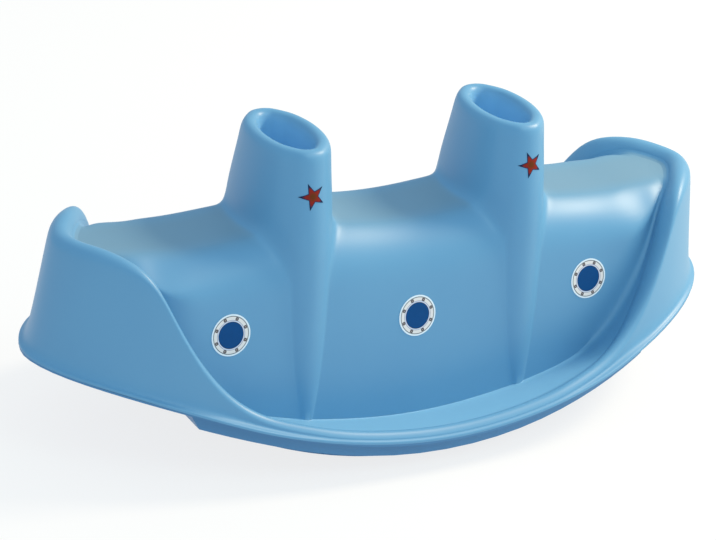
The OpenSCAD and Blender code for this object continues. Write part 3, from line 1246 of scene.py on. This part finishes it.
@dataclass(frozen=True)
class PortholePrint(PrintedFilm):
    """Print of a riveted porthole: white rim, ring of segments with eight rivets, blue glass.

    Sizes are shares of the sticker's radius.
    """

    name: str = "porthole_ink"
    rivets: int = 8
    rivet_place: float = 0.80
    rivet_radius: float = 0.078
    # Where a rivet's head is lit, against its radius
    rivet_top: Limits = (0.62, 0.30)
    # Gaps between the segments: half width, reach from the rivets' circle and strength of their colour
    gap_half: float = 0.085
    gap_reach: Limits = (0.085, 0.070)
    gap_strength: float = 0.55
    soft: float = 0.012
    # Colours from the glass out to the rim, each with the radius where it starts
    bands: tuple[tuple[float, str], ...] = (
        (0.625, "0a1f40"),
        (0.650, "d3daee"),
        (0.700, "8a86a0"),
        (0.722, "e6e0e0"),
        (0.885, "3e4048"),
        (0.918, "e4eef8"),
    )
    glass: str = "064a86"
    deep_glass: str = "05447c"
    gap: str = "6d6670"
    rivet_line: str = "3a3238"
    rivet_head: str = "a59c9c"

    def paint(self, s: Shader, ink: Sock) -> Sock:
        """Colour of the porthole: glass, bands, gaps and rivets.

        Args:
            s: shader under construction.
            ink: unevenness of the ink.

        Returns:
            The colour.
        """
        radius, angle = s.polar()
        colour = s.blend(ink, self.deep_glass, self.glass)
        for start, code in self.bands:
            colour = s.blend(radius.step(start - self.soft, start + self.soft), colour, code)
        turn = angle.fold(self.rivets, math.pi / self.rivets)
        beside = (radius * turn.sine()).size()
        along = radius * turn.cosine() - self.rivet_place
        in_gap = beside.step(self.gap_half + self.soft, self.gap_half - self.soft)
        in_gap = in_gap * along.size().step(*self.gap_reach)
        colour = s.blend(in_gap * self.gap_strength, colour, self.gap)
        reach = (beside * beside + along * along).root()
        head = reach.step(self.rivet_radius + self.soft, self.rivet_radius - self.soft)
        colour = s.blend(head, colour, self.rivet_line)
        lit = reach.step(*(self.rivet_radius * share for share in self.rivet_top))
        return s.blend(lit, colour, self.rivet_head)


@dataclass(frozen=True)
class StarPrint(PrintedFilm):
    """Print of a five-pointed star: brown heart, red arms and navy tips and edges.

    Sizes are shares of the sticker's radius.
    """

    name: str = "star_ink"
    ink: tuple[float, float] = (240.0, 3.0)
    points: int = 5
    waist: float = 0.40
    heart: str = "6a3210"
    arm: str = "8f211b"
    edge: str = "14264a"
    # Where the arms follow the heart, where their tips turn navy, and the navy line along the outline
    arm_start: Limits = (0.10, 0.42)
    tip_start: Limits = (0.52, 0.80)
    line: Limits = (0.075, 0.02)
    # Strength of the brown clouds in the red
    cloud_strength: float = 0.25

    def paint(self, s: Shader, ink: Sock) -> Sock:
        """Colour of the star: heart, arms, tips and edges.

        Args:
            s: shader under construction.
            ink: unevenness of the ink.

        Returns:
            The colour.
        """
        radius, angle = s.polar()
        turn = angle.fold(self.points, math.pi / 2).size()
        half = math.pi / self.points
        notch = Vector((self.waist * math.cos(half), self.waist * math.sin(half)))
        side = (Vector((1.0, 0.0)) - notch).normalized()
        inside = -side.y - (radius * turn.cosine() * -side.y + radius * turn.sine() * side.x)
        colour = s.blend(radius.step(*self.arm_start), self.heart, self.arm)
        colour = s.blend(ink * self.cloud_strength, colour, self.heart)
        colour = s.blend(radius.step(*self.tip_start), colour, self.edge)
        return s.blend(inside.step(*self.line), colour, self.edge)


@dataclass(frozen=True)
class ZincSteel:
    """Bright zinc-plated steel with a faint cloudiness."""

    name: str = "zinc_steel"
    colour: str = "c3c6cb"
    cloud_colour: str = "9ea2a8"
    cloud: tuple[float, float] = (300.0, 3.0)
    roughness: float = 0.28
    cloud_roughness: float = 0.15

    def make(self) -> bpy.types.Material:
        """Builds the finish.

        Returns:
            Its material.
        """
        s = Shader.material(self.name)
        cloud = s.noise(s.coordinates("Object"), *self.cloud)
        colour = s.blend(cloud, self.cloud_colour, self.colour)
        roughness = self.roughness + cloud * self.cloud_roughness
        return s.surface(Base_Color=colour, Metallic=1.0, Roughness=roughness)


@dataclass
class Sticker:
    """Printed film laid on the hull's side.

    Attributes:
        node: CAD node that it stands for.
        slot: not used.
        hull: hull that it lies on.
        side: side of the boat.
        place: its middle along the boat and above the floor.
        radius: half its size.
        corners: vertices of its outline.
        waist: share of the radius at which every second vertex lies.
        turn: turn of its outline seen from outside.
        film: its thickness.
        gap: its distance from the hull.
        cuts: cuts of each edge of its flat outline.
        start_y: distance from the middle plane at which it starts before it is pressed on.
    """

    node: str
    slot: str
    hull: bpy.types.Object
    side: Side
    place: tuple[float, float]
    radius: float
    corners: int = 64
    waist: float = 1.0
    turn: float = 0.0
    film: float = 0.0004
    gap: float = 0.0001
    cuts: int = 4
    start_y: float = 0.160

    def outline(self) -> bpy.types.Object:
        """Cuts the flat film and gives it its print's coordinates.

        Returns:
            The film, flat on the floor.
        """
        bpy.ops.object.select_all(action="DESELECT")
        bpy.ops.mesh.primitive_circle_add(vertices=self.corners, radius=self.radius, fill_type="TRIFAN")
        piece = bpy.context.active_object
        piece.name = self.node + "_film"
        piece.data.name = piece.name
        for vertex in piece.data.vertices:
            turn = math.atan2(vertex.co.x, vertex.co.y)
            if math.cos(turn * self.corners / 2) < 0:
                vertex.co *= self.waist
        bpy.ops.object.mode_set(mode="EDIT")
        bpy.ops.mesh.select_all(action="SELECT")
        bpy.ops.mesh.subdivide(number_cuts=self.cuts)
        bpy.ops.object.mode_set(mode="OBJECT")
        uv = piece.data.uv_layers.active or piece.data.uv_layers.new(name="UVMap")
        for loop in piece.data.loops:
            at = piece.data.vertices[loop.vertex_index].co / self.radius
            uv.data[loop.index].uv = (0.5 + at.x / 2, 0.5 + at.y / 2)
        return piece

    def press(self, piece: bpy.types.Object) -> None:
        """Stands the film beside the hull, presses it on and gives it its thickness.

        Args:
            piece: the flat film.
        """
        on_port = self.side is Side.PORT
        piece.rotation_euler = (math.pi / 2, self.turn if on_port else -self.turn, math.pi if on_port else 0)
        piece.location = (self.place[0], self.side.value * self.start_y, self.place[1])
        bpy.ops.object.transform_apply(location=True, rotation=True, scale=True)
        apply_modifier(
            piece,
            "SHRINKWRAP",
            target=self.hull,
            wrap_method="PROJECT",
            wrap_mode="ABOVE_SURFACE",
            use_project_y=True,
            use_negative_direction=on_port,
            use_positive_direction=not on_port,
            offset=self.gap,
        )
        apply_modifier(piece, "SOLIDIFY", thickness=self.film, offset=1)
        bpy.ops.object.shade_smooth_by_angle(angle=SHARP_ANGLE)

    def build(self, finish: bpy.types.Material) -> bpy.types.Object:
        """Makes the sticker.

        Args:
            finish: material of its print.

        Returns:
            The sticker's object.
        """
        piece = self.outline()
        self.press(piece)
        dress(piece, finish)
        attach(piece, BODY)
        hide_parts(self.node)
        return piece


@dataclass
class StickerSet:
    """Portholes along the bench sides and stars on the funnels' outer edges.

    Places are measured along the boat and above the floor on the starboard side; port has the same.
    """

    hull: bpy.types.Object
    porthole_radius: float = 0.0286
    star_radius: float = 0.0185
    star_turn: float = math.radians(22)
    portholes: dict[End, tuple[float, float]] = field(
        default_factory=lambda: {
            End.FORE: (0.2797, 0.1845),
            End.MID: (0.0000, 0.1704),
            End.AFT: (-0.2851, 0.1832),
        }
    )
    stars: dict[End, tuple[float, float]] = field(
        default_factory=lambda: {End.FORE: (0.1685, 0.3641), End.AFT: (-0.1717, 0.3598)}
    )

    def build(self) -> None:
        """Makes every sticker."""
        porthole, star = PortholePrint().make(), StarPrint().make()
        for side in Side:
            for end, place in self.portholes.items():
                node = f"porthole_{side.name}_{end.name}".lower()
                piece = Sticker(node, "porthole_print", self.hull, side, place, self.porthole_radius)
                piece.build(porthole)
            for end, place in self.stars.items():
                node = f"star_{side.name}_{end.name}".lower()
                piece = Sticker(node, "star_print", self.hull, side, place, self.star_radius)
                piece.corners = 2 * StarPrint.points
                piece.waist = StarPrint.waist
                piece.turn = self.star_turn
                piece.build(star)


def dress(piece: bpy.types.Object, finish: bpy.types.Material) -> None:
    """Gives a piece one material.

    Args:
        piece: object to dress.
        finish: its material.
    """
    piece.data.materials.clear()
    piece.data.materials.append(finish)
    log.info("%s: %d faces, %s", piece.name, len(piece.data.polygons), finish.name)


@dataclass
class RockerBase:
    """Lower moulding and its screws, shown as the CAD's own solids.

    Attributes:
        moulding: plate, tray and hollow rocker under the lip.
        screws: screws that hold the two mouldings together.
    """

    moulding: bpy.types.Object
    screws: bpy.types.Object
    colour: str = "4a86b6"
    deep: str = "427dae"

    def dress(self) -> None:
        """Gives the two solids their materials."""
        dress(self.moulding, MouldedPlastic("moulded_base", self.colour, self.deep).make())
        dress(self.screws, ZincSteel().make())


@dataclass(frozen=True)
class Lamp:
    """Square soft light.

    Attributes:
        name: name of the light.
        place: where it hangs.
        size: its side.
        power: its power in watts.
        colour: its screen colour.
    """

    name: str
    place: tuple[float, float, float]
    size: float
    power: float
    colour: str

    def hang(self, target: Vector) -> None:
        """Hangs the light.

        Args:
            target: point that it faces.
        """
        data = bpy.data.lights.new(self.name, "AREA")
        data.size = self.size
        data.energy = self.power
        data.color = linear(self.colour)[:3]
        lamp = bpy.data.objects.new(self.name, data)
        lamp.location = self.place
        lamp.rotation_euler = (target - lamp.location).to_track_quat("-Z", "Y").to_euler()
        bpy.context.scene.collection.objects.link(lamp)


@dataclass(frozen=True)
class Studio:
    """Plain pale floor, soft lights and the photograph's camera."""

    # Camera: its direction, its distance from the target and its shift from the line to the target
    azimuth: float = math.radians(32.37)
    elevation: float = math.radians(25.41)
    roll: float = math.radians(6.76)
    distance: float = 4.0416
    shift_right: float = 0.0256
    shift_up: float = -0.006
    target: tuple[float, float, float] = (0.0, 0.0, 0.1785)
    focal_pixels: float = 2916
    sensor: float = 36.0
    # Floor: its side, its shade and the share of plain white that the camera sees in it
    floor_side: float = 40.0
    floor_shade: float = 0.86
    floor_white: float = 0.8
    # Light of the sky, its strength, and the shade of the sky that the camera sees
    sky: tuple[float, float, float] = (0.71, 0.89, 1.0)
    ambient: float = 0.775
    backdrop: float = 0.8
    lamps: tuple[Lamp, ...] = (
        Lamp("key", (2.43, -0.17, 2.40), 0.9, 106, "ffe9c4"),
        Lamp("front", (0.30, -2.20, 2.90), 1.4, 20, "dafffa"),
    )

    def camera(self) -> None:
        """Sets the camera at the photograph's viewing angle."""
        ahead = Vector((
            math.sin(self.azimuth) * math.cos(self.elevation),
            math.cos(self.azimuth) * math.cos(self.elevation),
            -math.sin(self.elevation),
        ))
        level = Vector((math.cos(self.azimuth), -math.sin(self.azimuth), 0))
        upright = level.cross(ahead)
        right = level * math.cos(self.roll) + upright * math.sin(self.roll)
        up = upright * math.cos(self.roll) - level * math.sin(self.roll)
        place = Vector(self.target) - ahead * self.distance
        place = place - right * self.shift_right - up * self.shift_up
        data = bpy.data.cameras.new("camera")
        data.sensor_width = self.sensor
        data.lens = self.focal_pixels / FRAME_WIDTH * self.sensor
        camera = bpy.data.objects.new("camera", data)
        camera.matrix_world = Matrix((
            (right.x, up.x, -ahead.x, place.x),
            (right.y, up.y, -ahead.y, place.y),
            (right.z, up.z, -ahead.z, place.z),
            (0, 0, 0, 1),
        ))
        bpy.context.scene.collection.objects.link(camera)
        bpy.context.scene.camera = camera

    def floor(self) -> None:
        """Adds the floor, white to the camera but for part of the shadow."""
        bpy.ops.object.select_all(action="DESELECT")
        bpy.ops.mesh.primitive_plane_add(size=self.floor_side)
        floor = bpy.context.active_object
        floor.name = "floor"
        s = Shader.material("floor_white")
        seen = s.rays("Camera", "Glossy", "Transmission") * self.floor_white
        matt = s.node("ShaderNodeBsdfDiffuse", {}, (*[self.floor_shade] * 3, 1))
        glow = s.node("ShaderNodeEmission", {}, (1, 1, 1, 1), 1.0)
        mixed = s.node("ShaderNodeMixShader", {}, seen, matt, glow)
        s.node("ShaderNodeOutputMaterial", {}, mixed)
        floor.data.materials.append(s.owner)

    def world(self) -> None:
        """Sets a soft even sky that the camera sees as a pale backdrop."""
        bpy.context.scene.world = bpy.data.worlds.new("sky")
        s = Shader(bpy.context.scene.world)
        light = s.node("ShaderNodeBackground", {}, (*self.sky, 1), self.ambient)
        plain = s.node("ShaderNodeBackground", {}, (*[self.backdrop] * 3, 1), 1.0)
        mixed = s.node("ShaderNodeMixShader", {}, s.rays("Camera"), light, plain)
        s.node("ShaderNodeOutputWorld", {}, mixed)

    def build(self) -> None:
        """Builds the studio."""
        self.camera()
        self.floor()
        self.world()
        for lamp in self.lamps:
            lamp.hang(Vector(self.target))
        bpy.context.scene.view_settings.view_transform = "Standard"


def main() -> None:
    """Builds the boat and its studio."""
    logging.basicConfig(level=logging.INFO, format="%(message)s")
    hull = HullShell().build()
    StickerSet(hull).build()
    RockerBase(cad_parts["rocker_base"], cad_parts["base_screws"]).dress()
    Studio().build()


if __name__ == "__main__":
    main()
